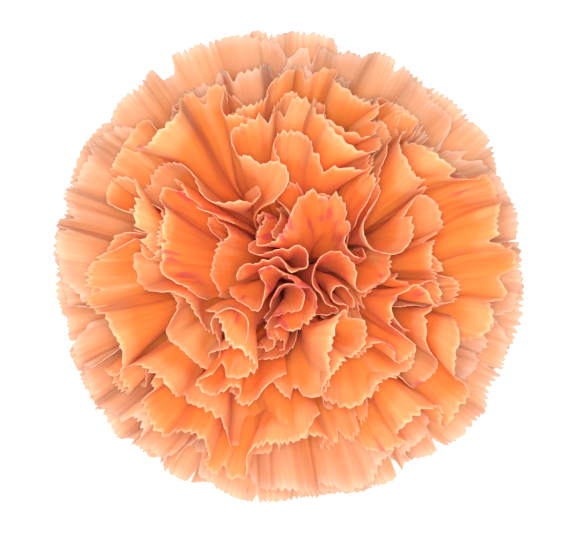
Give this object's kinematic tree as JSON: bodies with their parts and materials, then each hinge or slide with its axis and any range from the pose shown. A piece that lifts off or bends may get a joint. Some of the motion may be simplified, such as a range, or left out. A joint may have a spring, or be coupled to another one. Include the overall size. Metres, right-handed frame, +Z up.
{
  "type": "cut carnation",
  "caption": "Double carnation bloom with ruffled petals in a toothed calyx, on a short cut stem with a pair of narrow leaves, lying on its side.",
  "frame": {"origin": "on the surface the flower lies on, under the middle of its bounding box", "axes": "+Z up; the bloom's face looks towards -Y and a little up; the stem runs back towards +Y and down to the surface; X runs across"},
  "size_m": [0.0778, 0.1622, 0.0773],
  "materials": {
    "petal_outer": "soft pale peach petal, satin",
    "petal_middle": "soft orange petal, satin",
    "petal_inner": "soft deep orange petal with pink flecks, satin",
    "calyx_green": "waxy light green, faintly ribbed",
    "stem_green": "waxy blue-green",
    "leaf_green": "waxy grey-green",
    "heart_green": "pale moist green",
    "style_white": "smooth cream white"
  },
  "bodies": {
    "root": {"petal_1_1": "petal_outer", "petal_1_2": "petal_outer", "petal_1_3": "petal_outer", "petal_1_4": "petal_outer", "petal_1_5": "petal_outer", "petal_1_6": "petal_outer", "petal_1_7": "petal_outer", "petal_2_1": "petal_outer", "petal_2_2": "petal_outer", "petal_2_3": "petal_outer", "petal_2_4": "petal_outer", "petal_2_5": "petal_outer", "petal_2_6": "petal_outer", "petal_2_7": "petal_outer", "petal_3_1": "petal_outer", "petal_3_2": "petal_outer", "petal_3_3": "petal_outer", "petal_3_4": "petal_outer", "petal_3_5": "petal_outer", "petal_3_6": "petal_outer", "petal_4_1": "petal_middle", "petal_4_2": "petal_middle", "petal_4_3": "petal_middle", "petal_4_4": "petal_middle", "petal_4_5": "petal_middle", "petal_4_6": "petal_middle", "petal_5_1": "petal_middle", "petal_5_2": "petal_middle", "petal_5_3": "petal_middle", "petal_5_4": "petal_middle", "petal_5_5": "petal_middle", "petal_6_1": "petal_middle", "petal_6_2": "petal_middle", "petal_6_3": "petal_middle", "petal_6_4": "petal_middle", "petal_6_5": "petal_middle", "heart_petal_1_1": "petal_inner", "heart_petal_1_2": "petal_inner", "heart_petal_1_3": "petal_inner", "heart_petal_2_1": "petal_inner", "heart_petal_2_2": "petal_inner", "heart_petal_2_3": "petal_inner", "heart_petal_3_1": "petal_inner", "heart_petal_3_2": "petal_inner", "heart_petal_3_3": "petal_inner", "heart_petal_4_1": "petal_inner", "heart_petal_4_2": "petal_inner", "heart_petal_4_3": "petal_inner", "calyx": "calyx_green", "bract_1": "calyx_green", "bract_2": "calyx_green", "bract_3": "calyx_green", "bract_4": "calyx_green", "stem": "stem_green", "leaf_left": "leaf_green", "leaf_right": "leaf_green", "receptacle": "heart_green", "ovary": "heart_green", "style_left": "style_white", "style_right": "style_white"}
  },
  "joints": []
}
